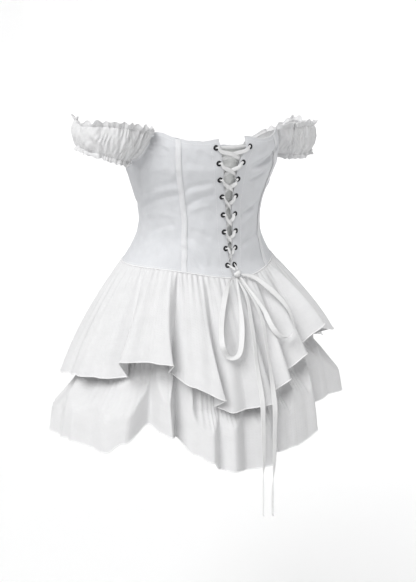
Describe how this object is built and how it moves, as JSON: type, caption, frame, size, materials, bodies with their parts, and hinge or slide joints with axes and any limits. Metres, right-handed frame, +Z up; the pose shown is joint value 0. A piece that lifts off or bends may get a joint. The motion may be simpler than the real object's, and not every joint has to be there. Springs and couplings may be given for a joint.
{
  "type": "layered chiffon mini dress",
  "caption": "Mini dress with a laced corset bodice, gathered off-the-shoulder sleeves and a flared tiered chiffon skirt, open and hollow as it is worn.",
  "frame": {"origin": "on the wearer's vertical axis at the height of the natural waist, the narrowest ring of the bodice, where the laced bodice grips and holds the dress up", "axes": "+Z up along the wearer, -Y the way the wearer faces, +X the wearer's left"},
  "size_m": [0.5952, 0.5226, 0.7402],
  "materials": {
    "bodice_cloth": "plain woven white cloth, matt",
    "boning_tape": "white woven tape over boning, slight sheen",
    "modesty_cloth": "plain woven cloth in shade, matt",
    "chiffon": "white crepe chiffon, soft and slightly sheer",
    "lace_ribbon": "flat white woven lace, matt",
    "eyelet_metal": "dark gunmetal plating, glossy"
  },
  "bodies": {
    "root": {"front_left": "bodice_cloth", "front_right": "bodice_cloth", "side_front_left": "bodice_cloth", "side_front_right": "bodice_cloth", "back_left": "bodice_cloth", "back_right": "bodice_cloth", "boning_channel_left": "boning_tape", "boning_channel_right": "boning_tape", "modesty_panel": "modesty_cloth", "eyelet_left_1": "eyelet_metal", "eyelet_left_2": "eyelet_metal", "eyelet_left_3": "eyelet_metal", "eyelet_left_4": "eyelet_metal", "eyelet_left_5": "eyelet_metal", "eyelet_left_6": "eyelet_metal", "eyelet_left_7": "eyelet_metal", "eyelet_left_8": "eyelet_metal", "eyelet_right_1": "eyelet_metal", "eyelet_right_2": "eyelet_metal", "eyelet_right_3": "eyelet_metal", "eyelet_right_4": "eyelet_metal", "eyelet_right_5": "eyelet_metal", "eyelet_right_6": "eyelet_metal", "eyelet_right_7": "eyelet_metal", "eyelet_right_8": "eyelet_metal", "lace": "lace_ribbon", "bow_knot": "lace_ribbon", "bow_loop_left": "lace_ribbon", "bow_loop_right": "lace_ribbon", "bow_tail_left": "lace_ribbon", "bow_tail_right": "lace_ribbon", "skirt_upper_tier": "chiffon", "skirt_lower_tier": "chiffon", "sleeve_left": "chiffon", "sleeve_right": "chiffon"}
  },
  "joints": []
}
